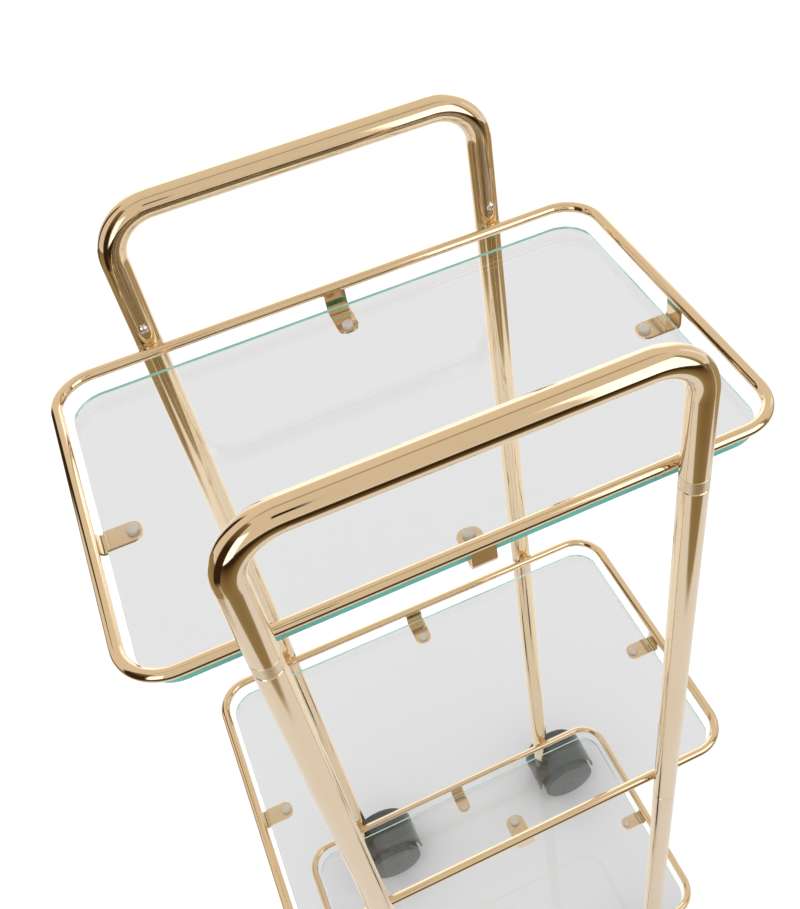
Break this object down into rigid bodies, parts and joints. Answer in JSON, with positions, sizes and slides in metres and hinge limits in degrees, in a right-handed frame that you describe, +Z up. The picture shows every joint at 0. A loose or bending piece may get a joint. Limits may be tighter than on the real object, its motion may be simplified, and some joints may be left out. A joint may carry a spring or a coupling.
{
  "type": "bar cart",
  "caption": "Tall narrow bar cart on swivel casters: bent tube handles, tube posts, rod gallery rings and clear glass shelves resting on clips.",
  "frame": {"origin": "on the floor, at the middle of the cart's plan", "axes": "+X along the long side and the handle bars, casters trailing towards +X; +Y towards the back long side; +Z up"},
  "size_m": [0.353, 0.301, 0.9303],
  "materials": {
    "gold_metal": "polished",
    "gold_collar": "satin",
    "gold_clip": "polished",
    "gold_weld": "glossy, uneven",
    "plug_steel": "turned",
    "socket_plastic": "moulded",
    "screw_steel": "nickel plated",
    "clear_bumper": "clear silicone",
    "shelf_glass": "clear tempered, polished green-tinted edge",
    "caster_steel": "zinc plated",
    "hood_plastic": "gloss black",
    "wheel_plastic": "gloss black"
  },
  "bodies": {
    "frame": {"handle_front": "gold_metal", "handle_back": "gold_metal", "ring_bottom": "gold_metal", "ring_middle": "gold_metal", "ring_top": "gold_metal", "upper_post_front_left": "gold_metal", "upper_post_front_right": "gold_metal", "upper_post_back_left": "gold_metal", "upper_post_back_right": "gold_metal", "lower_post_front_left": "gold_metal", "lower_post_front_right": "gold_metal", "lower_post_back_left": "gold_metal", "lower_post_back_right": "gold_metal", "collar_plugs_top": "gold_collar", "post_plugs_middle": "plug_steel", "handle_screws": "screw_steel", "set_screws": "screw_steel", "welds_bottom": "gold_weld", "welds_middle": "gold_weld", "welds_top": "gold_weld", "clips_bottom": "gold_clip", "clips_middle": "gold_clip", "clips_top": "gold_clip", "bumpers_bottom": "clear_bumper", "bumpers_middle": "clear_bumper", "bumpers_top": "clear_bumper", "caster_front_left_stem": "caster_steel", "caster_front_right_stem": "caster_steel", "caster_back_left_stem": "caster_steel", "caster_back_right_stem": "caster_steel", "caster_sockets": "socket_plastic"},
    "caster_front_left": {"caster_front_left_hood": "hood_plastic", "caster_front_left_axle": "caster_steel"},
    "caster_front_left_wheel_front": {"caster_front_left_wheel_front": "wheel_plastic"},
    "caster_front_left_wheel_back": {"caster_front_left_wheel_back": "wheel_plastic"},
    "caster_front_right": {"caster_front_right_hood": "hood_plastic", "caster_front_right_axle": "caster_steel"},
    "caster_front_right_wheel_front": {"caster_front_right_wheel_front": "wheel_plastic"},
    "caster_front_right_wheel_back": {"caster_front_right_wheel_back": "wheel_plastic"},
    "caster_back_left": {"caster_back_left_hood": "hood_plastic", "caster_back_left_axle": "caster_steel"},
    "caster_back_left_wheel_front": {"caster_back_left_wheel_front": "wheel_plastic"},
    "caster_back_left_wheel_back": {"caster_back_left_wheel_back": "wheel_plastic"},
    "caster_back_right": {"caster_back_right_hood": "hood_plastic", "caster_back_right_axle": "caster_steel"},
    "caster_back_right_wheel_front": {"caster_back_right_wheel_front": "wheel_plastic"},
    "caster_back_right_wheel_back": {"caster_back_right_wheel_back": "wheel_plastic"},
    "shelf_bottom": {"glass_bottom": "shelf_glass"},
    "shelf_middle": {"glass_middle": "shelf_glass"},
    "shelf_top": {"glass_top": "shelf_glass"}
  },
  "joints": [
    {"name": "caster_front_left_swivel", "type": "hinge", "parent": "frame", "child": "caster_front_left", "pos_m": [-0.1117, -0.1216, 0.05], "axis": [0, 0, 1], "continuous": true},
    {"name": "caster_front_right_swivel", "type": "hinge", "parent": "frame", "child": "caster_front_right", "pos_m": [0.1117, -0.1216, 0.05], "axis": [0, 0, 1], "continuous": true},
    {"name": "caster_back_left_swivel", "type": "hinge", "parent": "frame", "child": "caster_back_left", "pos_m": [-0.1117, 0.1216, 0.05], "axis": [0, 0, 1], "continuous": true},
    {"name": "caster_back_right_swivel", "type": "hinge", "parent": "frame", "child": "caster_back_right", "pos_m": [0.1117, 0.1216, 0.05], "axis": [0, 0, 1], "continuous": true},
    {"name": "caster_front_left_wheel_front_spin", "type": "hinge", "parent": "caster_front_left", "child": "caster_front_left_wheel_front", "pos_m": [-0.0897, -0.1216, 0.03], "axis": [0, 1, 0], "continuous": true},
    {"name": "caster_front_left_wheel_back_spin", "type": "hinge", "parent": "caster_front_left", "child": "caster_front_left_wheel_back", "pos_m": [-0.0897, -0.1216, 0.03], "axis": [0, 1, 0], "continuous": true},
    {"name": "caster_front_right_wheel_front_spin", "type": "hinge", "parent": "caster_front_right", "child": "caster_front_right_wheel_front", "pos_m": [0.1337, -0.1216, 0.03], "axis": [0, 1, 0], "continuous": true},
    {"name": "caster_front_right_wheel_back_spin", "type": "hinge", "parent": "caster_front_right", "child": "caster_front_right_wheel_back", "pos_m": [0.1337, -0.1216, 0.03], "axis": [0, 1, 0], "continuous": true},
    {"name": "caster_back_left_wheel_front_spin", "type": "hinge", "parent": "caster_back_left", "child": "caster_back_left_wheel_front", "pos_m": [-0.0897, 0.1216, 0.03], "axis": [0, 1, 0], "continuous": true},
    {"name": "caster_back_left_wheel_back_spin", "type": "hinge", "parent": "caster_back_left", "child": "caster_back_left_wheel_back", "pos_m": [-0.0897, 0.1216, 0.03], "axis": [0, 1, 0], "continuous": true},
    {"name": "caster_back_right_wheel_front_spin", "type": "hinge", "parent": "caster_back_right", "child": "caster_back_right_wheel_front", "pos_m": [0.1337, 0.1216, 0.03], "axis": [0, 1, 0], "continuous": true},
    {"name": "caster_back_right_wheel_back_spin", "type": "hinge", "parent": "caster_back_right", "child": "caster_back_right_wheel_back", "pos_m": [0.1337, 0.1216, 0.03], "axis": [0, 1, 0], "continuous": true},
    {"name": "shelf_bottom_lift", "type": "slide", "parent": "frame", "child": "shelf_bottom", "axis": [0, 0, 1], "range_m": [0, 0.06]},
    {"name": "shelf_middle_lift", "type": "slide", "parent": "frame", "child": "shelf_middle", "axis": [0, 0, 1], "range_m": [0, 0.06]},
    {"name": "shelf_top_lift", "type": "slide", "parent": "frame", "child": "shelf_top", "axis": [0, 0, 1], "range_m": [0, 0.06]}
  ]
}
